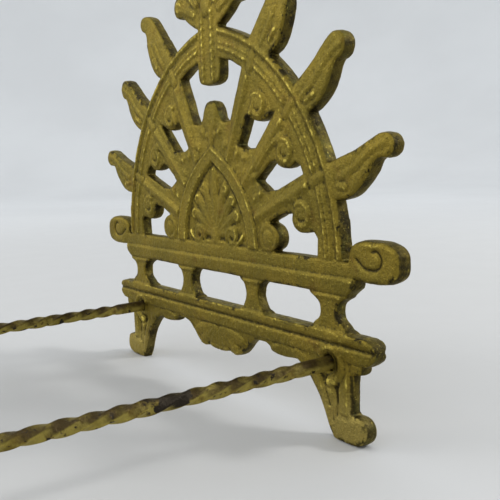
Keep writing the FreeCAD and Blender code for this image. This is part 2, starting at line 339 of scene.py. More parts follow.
def hood_shape(points):
    """Distance to one outline of the hood."""
    return inside_of(smooth(points) + [(-6, points[-1][1]), (-6, points[0][1])])


def rail_relief():
    """Mouldings on both rails and the balusters' tops, with worn hatching on the lowest."""
    top_band = raised(slab(-5, 52, 18.1, 20.4, 0.2), 0.42, 0.4)
    low_band = raised(slab(-5, 52, 15.0, 17.6, 0.2), 0.3, 0.35)
    hatch = np.sin(PX * 6.3 + 2 * np.sin(PX * 1.7) + PZ) * np.sin(PX * 2.3 + PZ * 4)
    hatched = low_band + 0.09 * hatch * (low_band > 0.05)
    line = groove(near([(-5, 17.85), (46.8, 17.85)]), 0.3, 0.14)
    lean = np.clip((PZ - 26.9) / 3.2, 0, 1)
    ledge = raised(slab(-5, 45.2, 26.9, 30.1, 0.3), 0.2, 0.4) + 0.24 * lean * (PZ < 30.1) * (PX < 45)
    under = bead(near([(-5, 26.3), (43.4, 26.3)]), 0.4, 0.22)
    sill = raised(slab(-5, 51, 30.1, 33.4, 0.3), 0.14, 0.5)
    top_line = groove(near([(-5, 33.1), (44.2, 33.1)]), 0.3, 0.16)
    return np.maximum.reduce([top_band, hatched, ledge, under, sill]) + line + top_line


def volute_relief():
    """A rolled end: a thick rim that winds in, and a cut line round its eye."""
    x, z, _, _ = VOLUTE
    blend = np.clip((PX - 44.6) / 2.6, 0, 1)
    rim = bead(np.abs(pad(x, z, 5.0, 2.7)), 0.8, 0.4)
    hook = smooth([(45.6, 33.9), (46.7, 33.1), (48.2, 32.3), (50.2, 32.2), (51.6, 33.0), (51.9, 34.2)])
    hook += smooth([(51.5, 35.0), (50.6, 35.5), (49.9, 35.3)])
    line = groove(near(hook), 0.32, 0.42)
    coil = bead(near(hook) - 0.8, 0.55, 0.26)
    body = raised(pad(*VOLUTE), 0.34, 1.0)
    sill = 0.14 * (1 - blend)
    return np.maximum.reduce([rim, coil, body]) * blend + sill + line


def crossings():
    """Where each spoke's centre line crosses the middle of the arch band, and its angle."""
    middle = 44.9
    found = []
    for x, z, lean, _, _, _ in SPOKES:
        turn = math.radians(lean)
        along = np.array([math.cos(turn), math.sin(turn)])
        off = np.array([x + ARCH_SHIFT, z - ARCH_Z])
        reach = -off @ along + math.sqrt((off @ along) ** 2 - off @ off + middle**2)
        found.append((*on_ray((x, z), lean, reach), lean))
    return found


def arch_relief():
    """A fine double rib and an edge line along the band, with a knot where each spoke crosses it."""
    turn = np.arctan2(PZ - ARCH_Z, PX + ARCH_SHIFT)
    crumbs = 1 + 0.2 * np.sin(turn * 150) * np.sin(turn * 53 + 1)
    edge = bead(np.abs(arch_radius - 47.5), 0.62, 0.38)
    ribs = bead(np.abs(arch_radius - 45.3), 0.5, 0.3) * crumbs
    ribs = np.maximum(ribs, bead(np.abs(arch_radius - 44.2), 0.55, 0.4) * crumbs)
    channel = groove(np.abs(arch_radius - 46.4), 0.5, 0.1)
    foot = bead(near(smooth([(40.9, 40), (41.1, 36.5), (41.5, 34.6), (42.6, 33.4), (44, 33.0)])), 0.5, 0.4)
    band = np.maximum.reduce([edge, ribs, foot, np.full(PX.shape, 0.08)]) + channel
    for x, z, lean in crossings():
        strap = near([on_ray((x, z), lean, -1.6), on_ray((x, z), lean, 0.6)]) - 1.3
        knob = np.maximum(raised(strap, 0.14, 0.9), bead(strap + 1.3, 1.2, 0.26))
        dip = groove(np.abs(strap - 0.25), 0.4, 0.1)
        tail = bead(near([on_ray((x, z), lean, 1), on_ray((x, z), lean, 4.5)]), 0.5, 0.2)
        band = np.maximum(np.where(strap < 0, knob, band), tail) + dip
    return band * (PZ > 31.5)


def leaf_relief(outline, stem, eye):
    """A rounded leaf with a sunk border, a rib along it and a drop near its foot."""
    shape = leaf_shape(outline)
    crown = raised(shape, 0.16, 0.6) + raised(shape + 0.6, 0.08, 1.6)
    path = smooth(stem)
    rib = bead(near(path), 0.7, 0.09)
    sides = groove(np.abs(near(path) - 0.9), 0.35, 0.1) * (shape < -0.4)
    border = groove(near(eye) - 0.75, 0.3, 0.12)
    drop = bead(near(eye), 0.75, 0.2)
    mask = np.clip((arch_radius - 47.6) / 0.6, 0, 1) * (shape < 0)
    return (crown + border + rib + sides) * mask + drop * (shape < 0)


def spoke_relief():
    """Each spoke is a low roof with a worn crest, and a scroll hangs from its lower side."""
    roof = np.zeros(PX.shape)
    ribs = np.zeros(PX.shape)
    for x, z, lean, half, back, ahead in SPOKES:
        gap = near([on_ray((x, z), lean, -back), on_ray((x, z), lean, ahead)])
        roof = np.maximum(roof, 0.34 * np.clip(1 - gap / half, 0, 1) + bead(gap, 0.5, 0.16))
        ribs = np.minimum(ribs, groove(np.abs(gap - 0.55 * half), 0.35, 0.1))
    return (roof + ribs) * (arch_radius < ARCH_INNER + 0.4)


def scroll_relief():
    """The coiled end under each spoke: a rim that winds into a small eye."""
    total = np.zeros(PX.shape)
    leads = (
        [(12.6, 55.6), (15.2, 60.2), (17.0, 64.0)],
        [(17.2, 49.6), (21.6, 53.6), (25.0, 55.6)],
        [(19.6, 41.4), (24.6, 43.3), (29.5, 43.8)],
    )
    for (x, z, radius), lead in zip(CURLS, leads):
        gap = disc(x, z, 0)
        coil = near(spiral(x, z, radius - 0.7, 0.9, 125, -1.35))
        dome = 0.2 * np.sqrt(np.maximum(0, 1 - (gap / radius) ** 2))
        total = np.maximum(total, dome) + groove(np.abs(coil - 0.75), 0.25, 0.1) * (gap < radius)
        beads = bead(coil, 0.7, 0.42), bead(near(smooth(lead)), 0.6, 0.4), bead(gap, 0.8, 0.42)
        total = np.maximum.reduce([total, *beads])
    return total


def ball_relief():
    """A ball in a ring, at the foot of each side of the hood."""
    gap = disc(*BALL, 0)
    dome = 0.42 * np.sqrt(np.maximum(0, 1 - (gap / 3.3) ** 2))
    ring = groove(np.abs(gap - 1.9), 0.3, 0.2)
    return (dome + ring) * (gap < 3.3) + bead(gap, 0.8, 0.12)


def petal(foot, lean, reach, width):
    """A petal that starts at foot, widest past its middle, with a ridge between two hollows."""
    turn = math.radians(lean)
    along = ((PX - foot[0]) * math.cos(turn) + (PZ - foot[1]) * math.sin(turn)) / reach
    across = np.abs((PZ - foot[1]) * math.cos(turn) - (PX - foot[0]) * math.sin(turn))
    t = np.clip(along, 0, 1) ** 1.5
    edge = width * np.sqrt(4 * t * (1 - t))
    crown = 0.46 * np.sqrt(np.clip(1 - (across / np.maximum(edge, 0.05)) ** 2, 0, 1)) * (edge > 0.1)
    return crown + groove(np.abs(across - 0.36 * edge), 0.28, 0.13) * (crown > 0.2)


def niche_relief():
    """A sunk niche with a palmette, under a pointed hood."""
    hood_outer = hood_shape(HOOD_OUTER)
    hood_inner = hood_shape(HOOD_INNER)
    floor = -0.34 * np.clip(-hood_inner / 0.5, 0, 1) * (PZ > 32.8)
    band = np.maximum(hood_outer, -hood_inner)
    hood = raised(band, 0.3, 0.5)
    edge = bead(np.abs(hood_outer + 0.5), 0.5, 0.42) + bead(np.abs(hood_inner - 0.45), 0.4, 0.33)
    hood = np.maximum(hood, edge * (band < 0.2)) * (PZ > 32.5)
    fan = np.zeros(PX.shape)
    for lean, reach, width in PALMETTE:
        fan = np.maximum(fan, petal(NICHE_FOOT, lean, reach, width))
        x, z = on_ray(NICHE_FOOT, lean, 0.86 * reach)
        if lean < 90:
            curl = spiral(x + 0.7, z - 0.2, 1.0, 0.5, lean + 60, -0.7)
            fan = np.maximum(fan, bead(near(curl), 0.5, 0.46))
    scroll = bead(near(spiral(6.6, 35.0, 2.1, 0.5, 200, -1.5)), 0.62, 0.5)
    knot = bead(disc(*NICHE_FOOT, 0), 2.1, 0.6)
    spray = bead(near(smooth([(0.6, 33.4), (3, 33.6), (5.4, 33.2), (8.6, 33.6), (10.6, 35.4)])), 0.5, 0.46)
    fan = np.maximum.reduce([fan, scroll, knot, spray]) * (hood_inner < -0.2)
    return floor + hood + fan


def gable_relief():
    """Crockets round the hood: small lobed leaves, and a knob on the gable."""
    lobes = (
        (5.6, 54.4, 2.1, 1.5, 30), (9.9, 52.4, 1.7, 1.3, 80), (12.7, 51.6, 2.0, 1.2, -20),
        (12.2, 48.6, 1.6, 1.1, 60), (15.4, 47.6, 2.2, 1.4, 15), (18.0, 44.3, 1.6, 1.2, 75),
        (15.9, 43.4, 1.3, 1.0, 60), (18.4, 40.9, 1.6, 1.2, 60), (3.4, 57.4, 1.7, 1.3, 60),
        (8.4, 56.8, 1.5, 1.1, 70), (18.9, 47.2, 1.6, 1.0, 5), (17.6, 38.9, 1.0, 0.8, 80),
    )
    total = np.zeros(PX.shape)
    for x, z, width, rise, lean in lobes:
        total = np.maximum(total, raised(oval(x, z, width, rise, lean), 0.36, 1.1))
        total += groove(disc(x + 0.3, z - 0.5, 0), 0.45, 0.2)
    knob = raised(oval(0, 60.4, 3.2, 3.9), 0.3, 1.4)
    stem = bead(near([(0, 55.4), (0, 58.6)]), 0.9, 0.34)
    eye = bead(disc(1.5, 56.9, 0), 0.8, 0.34)
    return np.maximum.reduce([total, knob, stem, eye])


def leg_relief():
    """A stile, a fluted tongue, a ring round the rod's hole, open below, and a rolled toe."""
    stile = raised(slab(40.4, 43.1, 5.0, 15.4, 0.3), 0.32, 0.45)
    x, z = ROD_HOLE
    ring = spiral(x + 0.3, z, 3.0, 3.0, 150, -0.62)
    ring += smooth([ring[-1], (39.2, 10.9), (37.9, 10.6)])
    collar = bead(near(ring), 0.75, 0.42)
    lip = raised(disc(x, z, 2.6), 0.2, 0.5)
    tongue = raised(oval(37.9, 9.7, 1.5, 2.0), 0.3, 0.8)
    vein = smooth([(35.2, 11.4), (36.6, 8.8), (37.9, 5.4), (38.6, 2.4)])
    edge = bead(near(vein) - 0.9, 0.5, 0.12)
    flutes = groove(near([(38.3, 7.0), (38.9, 3.4)]), 0.3, 0.22)
    flutes += groove(near([(39.5, 9.0), (39.7, 4.4)]), 0.3, 0.26)
    flutes += groove(near(vein[:-6]), 0.3, 0.24)
    pocket = groove(near([(36.1, 11.2), (36.6, 10.2)]), 0.7, 0.5)
    pocket += groove(near([(39.6, 10.6), (39.7, 7.2)]), 0.4, 0.4)
    moat = groove(near(ring) - 1.15, 0.4, 0.3) * (PX > x - 1.6)
    slot = groove(near([(43.6, 5.9), (43.6, 12.4)]), 0.35, 0.4)
    side = raised(slab(43.7, 46.6, 13.3, 15.2, 0.2), 0.2, 0.4)
    toe = raised(melt(oval(44.6, 2.5, 3.2, 2.9), slab(39.0, 45.0, -2, 5.0, 0.8), 0.6), 0.22, 1.2)
    cuts = (flutes + pocket + slot + moat) * np.clip((near(ring) - 0.8) / 0.4, 0, 1)
    return np.maximum.reduce([stile, collar, lip, tongue, edge, side, toe]) + cuts


def apron_relief():
    """Long leaves towards the legs and gadroons over the pendant."""
    total = np.zeros(PX.shape)
    for points in (
        [(30.6, 12.4), (27.4, 14.0), (23.4, 14.3), (20.4, 13.6)],
        [(32.6, 11.6), (30.6, 13.6), (28.0, 14.5)],
    ):
        total = np.maximum(total, bead(near(smooth(points)), 0.6, 0.2))
    for lean, reach, width in ((-12, 10.0, 1.2), (-34, 8.6, 1.4), (-62, 6.0, 1.3), (-90, 5.4, 1.3)):
        total = np.maximum(total, 0.75 * petal((0.6, 14.6), lean, reach, width))
    border = smooth([(0, 10.3), (3.4, 10.5), (6.4, 10.2), (9.0, 11.6), (12.2, 14.2)])
    return total + groove(near(border), 0.25, 0.14)


def crest_relief():
    """Two beaded lines on the stem and a rounded leaf on each lobe."""
    total = bead(near([(1.9, 68.8), (1.9, 83)]), 0.7, 1.0) * (0.32 + 0.1 * np.sin(PZ * 3.9))
    for lean, reach, width in CREST_LOBES:
        vein = [on_ray((0, CREST_FOOT), lean, 5.5), on_ray((0, CREST_FOOT), lean, reach - width)]
        shape = melt(disc(*vein[1], width - 0.6), near(vein) - 0.5 * width, 1.0)
        total = np.maximum(total, raised(shape, 0.42, 0.9))
        total += groove(near(vein), 0.32, 0.16) * (shape < 0)
    knot = bead(disc(0, CREST_FOOT + 3, 0), 2.2, 0.5)
    return np.maximum(total, knot) * (PZ > 67)


LEAVES = (
    (LOWER_LEAF, [(41.5, 47.6), (45.5, 49.4), (49.6, 52.2), (53.0, 53.4)], [(41.4, 46.4), (43.4, 46.0)]),
    (MIDDLE_LEAF, [(32, 62.4), (35.5, 65), (39.4, 68.6), (42.8, 70.5)], [(33.2, 61.6), (35.4, 62.6)]),
    (UPPER_LEAF, [(20, 73.6), (23, 77.4), (26.4, 82), (29, 84.9)], [(22.8, 73.8), (24.6, 75.6)]),
)  # each leaf's outline, its rib and the drop near its foot


def fan_relief(stem_place):
    """Everything over the sill: the niche, gable, spokes, balls, arch and leaves."""
    over = PZ > 33.0
    in_arch = arch_radius < ARCH_INNER + 0.3
    total = np.where(in_arch & over & ~stem_place, niche_relief() + gable_relief(), 0)
    hood = hood_shape(HOOD_OUTER)
    outside_hood = np.clip(hood / 0.6, 0, 1) * over * in_arch
    spokes = np.maximum(spoke_relief(), scroll_relief()) * outside_hood
    total = np.where(hood > 0, np.maximum(total, spokes + np.minimum(total, 0)), total)
    total = np.where(disc(*BALL, 3.3) < 0, ball_relief(), total)
    band = arch_radius > ARCH_INNER - 0.2
    total = np.where(band & ~stem_place & over, arch_relief(), total)
    for outline, stem, eye in LEAVES:
        total = np.where(arch_radius > 47.8, np.maximum(total, leaf_relief(outline, stem, eye)), total)
    return total


def casting_relief():
    """The height that is added to each face, in units."""
    stem_place = (PX < 4.2) & (PZ > 67)
    total = np.where(stem_place | (PZ > 80), crest_relief(), fan_relief(stem_place))
    leg = leg_relief()
    low = np.maximum(rail_relief(), np.where(PZ < 15.6, leg, 0))
    low = np.where(PZ < 15.0, np.where(PX > 33, leg, apron_relief()), low)
    total = np.where(PZ < 33.1, low, total)
    total = np.where((pad(*VOLUTE) < 0) & (PX > 44.6), volute_relief(), total)
    return np.where(disc(*ROD_HOLE, 3.2) < 0, leg, total)


# ---- from drawing to mesh ----

EDGE_SOFT = 0.42  # rounding where a face meets an edge, in units
STUD_BORE = 1.02  # radius of the hole for the stud
SEAT_RADIUS = 1.5  # of the wider hole for the rod's shank
SEAT_Y = -0.34  # the seat's floor, from the middle plane
JUST_INSIDE = -0.001  # of a surface, as a distance
FACES_KEPT = 0.37  # share left by thinning


def both_sides(picture):
    """The whole width from the right half."""
    return np.concatenate([picture[:0:-1], picture], axis=0)


def waves(x, z, seed, length):
    """Smooth unevenness of about one unit high, from a few crossing waves."""
    random = np.random.default_rng(seed)
    total = 0
    for _ in range(7):
        angle, phase, stretch = random.uniform(0, 2 * math.pi, 2).tolist() + [random.uniform(0.6, 1.6)]
        pace = 2 * math.pi / (length * stretch)
        total += np.sin((x * math.cos(angle) + z * math.sin(angle)) * pace + phase)
    return total / 4


def settle(field):
    """Fills grid squares whose corners are in and out by turns, so that every edge gets two faces."""
    for _ in range(6):  # as one filling can upset its neighbour
        for axis in range(3):
            turned = np.moveaxis(field, axis, 0)
            corners = [
                turned[:, b : b - 1 or None, c : c - 1 or None] for b, c in ((0, 0), (1, 0), (1, 1), (0, 1))
            ]
            inside = [corner < 0 for corner in corners]
            by_turns = (inside[0] == inside[2]) & (inside[1] == inside[3]) & (inside[0] != inside[1])
            for corner in corners:
                corner[by_turns & (corner >= 0)] = JUST_INSIDE


def surface(field, axes):
    """A mesh where a field passes zero: a vertex in each cell that it crosses, a face per crossed edge."""
    inside = field < 0
    corner = [slice(None, -1), slice(1, None)]
    both = (0, 1)
    count = sum(
        inside[corner[a], corner[b], corner[c]].astype(np.int8) for a in both for b in both for c in both
    )
    cells = np.nonzero((count > 0) & (count < 8))
    number = np.full(count.shape, -1)
    number[cells] = np.arange(len(cells[0]))
    total = np.zeros((len(cells[0]), 3))
    hits = np.zeros(len(cells[0]))
    for axis in range(3):
        for b in both:
            for c in both:
                start = np.insert([b, c], axis, 0)
                end = np.insert([b, c], axis, 1)
                f0 = field[tuple(cells[k] + start[k] for k in range(3))]
                f1 = field[tuple(cells[k] + end[k] for k in range(3))]
                crossed = (f0 < 0) != (f1 < 0)
                t = np.where(crossed, f0 / np.where(crossed, f0 - f1, 1), 0)
                for k in range(3):
                    total[:, k] += crossed * (start[k] + (t if k == axis else 0))
                hits += crossed
    cell_size = [axis[1] - axis[0] for axis in axes]
    points = [axes[k][0] + (cells[k] + total[:, k] / hits) * cell_size[k] for k in range(3)]
    faces = []
    for axis in range(3):
        b, c = (axis + 1) % 3, (axis + 2) % 3
        lower = [slice(1, -1)] * 3
        upper = [slice(1, -1)] * 3
        lower[axis] = slice(0, -1)
        upper[axis] = slice(1, None)
        here, there = inside[tuple(lower)], inside[tuple(upper)]
        edges = np.nonzero(here != there)
        at = [e + (0 if k == axis else 1) for k, e in enumerate(edges)]
        outward = here[edges]
        ring = []
        for db, dc in ((-1, -1), (0, -1), (0, 0), (-1, 0)):
            place = list(at)
            place[b] = at[b] + db
            place[c] = at[c] + dc
            ring.append(number[tuple(place)])
        quad = np.stack(ring, axis=1)
        quad[~outward] = quad[~outward][:, ::-1]
        faces.append(quad)
    return np.stack(points, axis=1), np.concatenate(faces)


def add_object(name, data):
    """A new object in the scene."""
    thing = bpy.data.objects.new(name, data)
    bpy.context.collection.objects.link(thing)
    return thing


def make_mesh(name, points, quads):
    """A smooth-shaded Blender mesh from arrays of points and four-cornered faces."""
    mesh = bpy.data.meshes.new(name)
    mesh.vertices.add(len(points))
    mesh.vertices.foreach_set("co", np.float32(points).ravel())
    mesh.loops.add(quads.size)
    mesh.loops.foreach_set("vertex_index", np.int32(quads).ravel())
    mesh.polygons.add(len(quads))
    mesh.polygons.foreach_set("loop_start", np.arange(0, quads.size, 4, dtype=np.int32))
    mesh.polygons.foreach_set("use_smooth", np.ones(len(quads), bool))
    mesh.update(calc_edges=True)
    mesh.validate()
    return mesh


def thin_out(mesh, share):
    """The same surface with fewer faces, most of them kept where it bends."""
    piece = add_object("thinning", mesh)
    piece.modifiers.new("thinning", "DECIMATE").ratio = share
    graph = bpy.context.evaluated_depsgraph_get()
    thinned = bpy.data.meshes.new_from_object(piece.evaluated_get(graph))
    bpy.data.objects.remove(piece)
    bpy.data.meshes.remove(mesh)
    return thinned


def add_attribute(mesh, name, values):
    """A value at each vertex, for materials to read."""
    layer = mesh.attributes.new(name, "FLOAT", "POINT")
    layer.data.foreach_set("value", np.float32(values))


def look_up(picture, xs, zs, x, z):
    """A picture's values at places between its cells."""
    i = np.clip((x - xs[0]) / (xs[1] - xs[0]), 0, len(xs) - 1.001)
    k = np.clip((z - zs[0]) / (zs[1] - zs[0]), 0, len(zs) - 1.001)
    i0, k0 = i.astype(int), k.astype(int)
    right, up = i - i0, k - k0
    low = picture[i0, k0] * (1 - right) + picture[i0 + 1, k0] * right
    high = picture[i0, k0 + 1] * (1 - right) + picture[i0 + 1, k0 + 1] * right
    return low * (1 - up) + high * up


def rough_casting(wx, wz):
    """The outline and half the thickness over the whole width, both slightly uneven as cast."""
    outline = both_sides(casting_outline())
    relief = both_sides(casting_relief())
    outline = outline + 0.05 * waves(wx, wz, 3, 9) + 0.02 * waves(wx, wz, 4, 2.5)
    outline = np.maximum(outline, np.abs(wx) - 55.9)
    rough = 0.035 * waves(wx, wz, 5, 6) + 0.022 * waves(wx, wz, 6, 1.7) + 0.016 * waves(wx, wz, 7, 0.9)
    relief = blur(relief * 1.12, 0.55) + rough
    return outline, np.clip(HALF_PLAIN + relief, 0.6, HALF_MOST - 0.02)


def casting_field(outline, half, wx, wz, ys):
    """Distances in space: the outline with a seam round it, both faces, the rods' seats and the floor."""
    y = ys[None, :, None]
    seam = 0.07 * np.exp(-((y / 0.3) ** 2)) - 0.045 * np.abs(y)
    side = outline[:, None, :] - seam
    face = np.abs(y) - half[:, None, :]
    body = -melt(-side, -face, EDGE_SOFT)
    gap = np.hypot(np.abs(wx) - ROD_HOLE[0], wz - ROD_HOLE[1])[:, None, :]
    seat = np.maximum(gap - SEAT_RADIUS, y - SEAT_Y)
    body = np.maximum(body, -np.minimum(gap - STUD_BORE, seat))
    return np.maximum(body, 0.02 - wz[:, None, :])


def casting_mesh():
    """The whole casting around its own middle plane, in metres, with values for the paint."""
    xs = np.concatenate([-half_x[:0:-1], half_x])
    ys = np.arange(-2.2, 2.25, GRID_Y)
    wx, wz = np.meshgrid(xs, grid_z, indexing="ij")
    outline, half = rough_casting(wx, wz)
    field = casting_field(outline, half, wx, wz, ys)
    settle(field)
    points, quads = surface(field, (xs, ys, grid_z))
    mesh = thin_out(make_mesh("casting_in_full", points * UNIT, quads), FACES_KEPT)
    mesh.name = "casting"
    kept = np.empty(3 * len(mesh.vertices), np.float32)
    mesh.vertices.foreach_get("co", kept)
    at_x, _, at_z = (kept.reshape(-1, 3) / UNIT).T
    inward = blur((outline < 0).astype(float), 2.6)  # 0.5 at the casting's edge, 1 well inside it
    # the paint reads these: dirt and painted shade in hollows, wear and painted highlight on ridges and
    # edges
    relief = 0.06 * (1 - inward) + (half - blur(half, 1.8)) * 2.6  # hollows below 0, ridges above
    for name, picture in (("relief", relief), ("inward", inward)):
        add_attribute(mesh, name, look_up(picture, xs, grid_z, at_x, at_z))
    return mesh


# ---- rods, washers and nuts ----


def lathe(stations, around, radius_at):
    """A skin round the Y axis. radius_at(station, angles) gives the radii of one ring of points."""
    angles = np.linspace(0, 2 * math.pi, around, endpoint=False)
    rings = []
    for station in stations:
        radii = radius_at(station, angles)
        ring = [radii * np.cos(angles), np.full(around, station[0]), radii * np.sin(angles)]
        rings.append(np.stack(ring, axis=1))
    points = np.concatenate(rings)
    quads = []
    for ring in range(len(stations) - 1):
        a = ring * around + np.arange(around)
        b = ring * around + (np.arange(around) + 1) % around
        quads.append(np.stack([a, a + around, b + around, b], axis=1))
    return points, np.concatenate(quads)


def close_end(points, quads, start, around, flip=False):
    """The same skin with a ring of points closed by faces round a point on the axis."""
    fan = [(len(points), start + k, start + k + 1, start + (k + 2) % around) for k in range(0, around, 2)]
    fan = np.array(fan)[:, ::-1] if flip else np.array(fan)
    return np.concatenate([points, [[0, points[start][1], 0]]]), np.concatenate([quads, fan])


def rod_mesh():
    """The twisted bar with its shanks and threaded studs, along Y round its own axis, in metres."""
    mm = 0.001
    half_side = (ROD_HIGH[0] - ROD_LOW[0]) / 2 / math.sqrt(2)  # the corners set the box
    turn_length = 17.7 * UNIT
    seat = abs(PANEL_LOW[1]) + 0.4 * UNIT + 1.6 * mm
    shank_start = seat - 11.6 * mm
    end = ROD_HIGH[1] - 0.05 * mm
    shank, stud, pitch = 2.0 * mm, 1.25 * mm, 0.45 * mm
    sag, sway = 0.7 * mm, 0.3 * mm
    squareness = 7.5  # the corners get sharper as this grows
    around = 36
    stretches = (
        np.arange(0, shank_start - 4 * mm, 0.75 * mm),
        np.arange(shank_start - 4 * mm, seat, 0.5 * mm),
        [seat - 0.2 * mm, seat, seat + 0.001 * mm],
        np.arange(seat + 0.06 * mm, end, 0.07 * mm),
        [end - 0.1 * mm, end],
    )
    places = np.concatenate(stretches)
    places = np.concatenate([-places[:0:-1], places])

    def radius_at(station, angles):
        y = station[0]
        away = abs(y)
        if away > seat:
            wave = (angles / (2 * math.pi) + away / pitch) % 1
            thread = stud * (1 - 0.1 * np.abs(2 * wave - 1))
            return thread * min(1, 0.55 + (end - away) / (0.35 * mm))
        round_share = np.clip((away - shank_start + 3 * mm) / (3.5 * mm), 0, 1)
        round_share = round_share * round_share * (3 - 2 * round_share)
        phase = angles - 2 * math.pi * y / turn_length
        corners = np.abs(np.cos(phase)) ** squareness + np.abs(np.sin(phase)) ** squareness
        square = corners ** (-1 / squareness)
        uneven = 1 + 0.03 * math.sin(y * 310 + 1) + 0.02 * math.sin(y * 770)
        neck = shank * (1 - 0.12 * np.clip(1 - (seat - away) / (0.5 * mm), 0, 1))
        return square * half_side * uneven * (1 - round_share) + neck * round_share

    points, quads = lathe([(y,) for y in places], around, radius_at)
    points, quads = close_end(points, quads, 0, around)
    points, quads = close_end(points, quads, (len(places) - 1) * around, around, flip=True)
    bow = np.clip(1 - (points[:, 1] / seat) ** 2, 0, 1)
    points[:, 2] -= sag * bow
    points[:, 0] += sway * np.sin(points[:, 1] * 24) * bow
    return make_mesh("twisted_rod", points, quads)


def washer_mesh():
    """A pressed washer: a flat ring with rolled edges, along Y from 0 outwards."""
    thick = WASHER_HIGH[1] - WASHER_LOW[1]
    outer = (WASHER_HIGH[0] - WASHER_LOW[0]) / 2
    inner = outer * 0.44
    roll = thick * 0.3
    lip = [(0, roll), (roll * 0.4, roll * 0.3), (roll, 0)]  # along Y, and in from the rim
    profile = [(y, inner + gap) for y, gap in lip]
    profile += [(thick - y, inner + gap) for y, gap in reversed(lip)]
    profile += [(thick - y, outer - gap) for y, gap in lip]
    profile += [(y, outer - gap) for y, gap in reversed(lip)]
    profile += [profile[0]]

    def radius_at(station, angles):
        return np.full(len(angles), station[1]) * (1 + 0.006 * np.sin(2 * angles + 1))

    points, quads = lathe(profile[::-1], 56, radius_at)
    return make_mesh("washer", points, quads)


def nut_mesh():
    """A hexagon nut, chamfered on both faces, with a threaded bore, along Y from 0 outwards."""
    thick = NUT_HIGH[1] - NUT_LOW[1]
    flat = (NUT_HIGH[2] - NUT_LOW[2]) / 2
    bore = flat * 0.52
    mouth = bore * 1.12
    facing = flat * 0.97
    pitch = 0.00045
    turned, hexagon, threaded = range(3)  # the kinds of ring
    chamfer = [(t, facing + flat * 0.2 * (t / 0.16)) for t in (0.04, 0.08, 0.12, 0.16)]
    profile = [(0.0001 * thick, mouth, turned), (0, facing, turned)]
    profile += [(thick * t, radius, hexagon) for t, radius in chamfer]
    profile += [(thick * t, flat * 2, hexagon) for t in (0.3, 0.5, 0.7)]
    profile += [(thick * (1 - t), radius, hexagon) for t, radius in reversed(chamfer)]
    profile += [(thick, facing, turned), (thick * 0.9999, mouth, turned)]
    profile += [(thick * (1 - t), bore, threaded) for t in np.linspace(0.06, 0.94, 26)]
    profile += [profile[0]]

    def radius_at(station, angles):
        y, radius, kind = station
        if kind == hexagon:
            sector = (angles + math.pi / 6) % (math.pi / 3) - math.pi / 6
            corner = flat / np.cos(sector)
            return np.minimum(np.minimum(corner, radius), flat * 1.13)
        if kind == threaded:
            wave = (angles / (2 * math.pi) + y / pitch) % 1
            return radius * (1 + 0.05 * np.abs(2 * wave - 1))
        return np.full(len(angles), radius)

    points, quads = lathe(profile, 72, radius_at)
    return make_mesh("nut", points @ np.array(Matrix.Rotation(math.pi / 6, 3, "Y")), quads)


# ---- materials ----


class Nodes:
    """Short calls for building one material's node tree."""

    def __init__(self, name):
        self.material = bpy.data.materials.new(name)
        self.material.use_nodes = True
        self.tree = self.material.node_tree
        self.shader = self.tree.nodes["Principled BSDF"]
        self.place = self.add("ShaderNodeTexCoord").outputs["Object"]

    def add(self, kind, **settings):
        node = self.tree.nodes.new(kind)
        for name, value in settings.items():
            setattr(node, name, value)
        return node

    def link(self, source, target):
        self.tree.links.new(source, target)

    def noise(self, scale, detail=3.0, roughness=0.5, stretch=None):
        """Noise from 0 to 1 over the object. scale is in features per metre."""
        node = self.add("ShaderNodeTexNoise")
        for name, number in (("Scale", scale), ("Detail", detail), ("Roughness", roughness)):
            node.inputs[name].default_value = number
        place = self.place
        if stretch:
            mapping = self.add("ShaderNodeMapping")
            mapping.inputs["Scale"].default_value = stretch
            self.link(place, mapping.inputs["Vector"])
            place = mapping.outputs["Vector"]
        self.link(place, node.inputs["Vector"])
        return node.outputs["Fac"]

    def ramp(self, value, low, high, start=0.0, end=1.0):
        """value mapped from low..high to start..end, and held there."""
        node = self.add("ShaderNodeMapRange", interpolation_type="SMOOTHSTEP")
        for name, number in (("From Min", low), ("From Max", high), ("To Min", start), ("To Max", end)):
            node.inputs[name].default_value = number
        self.link(value, node.inputs["Value"])
        return node.outputs["Result"]

    def math(self, operation, a, b=0):
        """A sum or the like. a and b are numbers or sockets."""
        node = self.add("ShaderNodeMath", operation=operation)
        for socket, value in zip(node.inputs, (a, b)):
            if isinstance(value, (int, float)):
                socket.default_value = value
            else:
                self.link(value, socket)
        return node.outputs[0]

    def times(self, a, b):
        return self.math("MULTIPLY", a, b)

    def mix(self, share, a, b):
        """A colour between a and b. Each is a colour or a socket."""
        node = self.add("ShaderNodeMix", data_type="RGBA")
        for socket, value in ((node.inputs[0], share), (node.inputs[6], a), (node.inputs[7], b)):
            if isinstance(value, tuple):
                socket.default_value = (*value, 1)
            else:
                self.link(value, socket)
        return node.outputs[2]

    def attribute(self, name):
        return self.add("ShaderNodeAttribute", attribute_name=name).outputs["Fac"]

    def split(self, vector, axis):
        """One part of a vector: 0 for X, 1 for Y, 2 for Z."""
        node = self.add("ShaderNodeSeparateXYZ")
        self.link(vector, node.inputs[0])
        return node.outputs[axis]

    def facing(self, axis):
        """How far the surface faces along an axis of the object."""
        return self.split(self.add("ShaderNodeTexCoord").outputs["Normal"], axis)

    def coat(self, colour, metallic, roughness, tint=None):
        """Sets what every material here has. colour and roughness are sockets."""
        self.link(colour, self.shader.inputs["Base Color"])
        self.link(roughness, self.shader.inputs["Roughness"])
        self.shader.inputs["Metallic"].default_value = metallic
        if tint:
            self.shader.inputs["Specular Tint"].default_value = (*tint, 1)

    def bump(self, layers):
        """Bump from pairs of a height and its depth in metres."""
        normal = None
        for height, depth in layers:
            node = self.add("ShaderNodeBump")
            node.inputs["Strength"].default_value = 1.0
            node.inputs["Distance"].default_value = depth
            self.link(height, node.inputs["Height"])
            if normal is not None:
                self.link(normal, node.inputs["Normal"])
            normal = node.outputs["Normal"]
        self.link(normal, self.shader.inputs["Normal"])


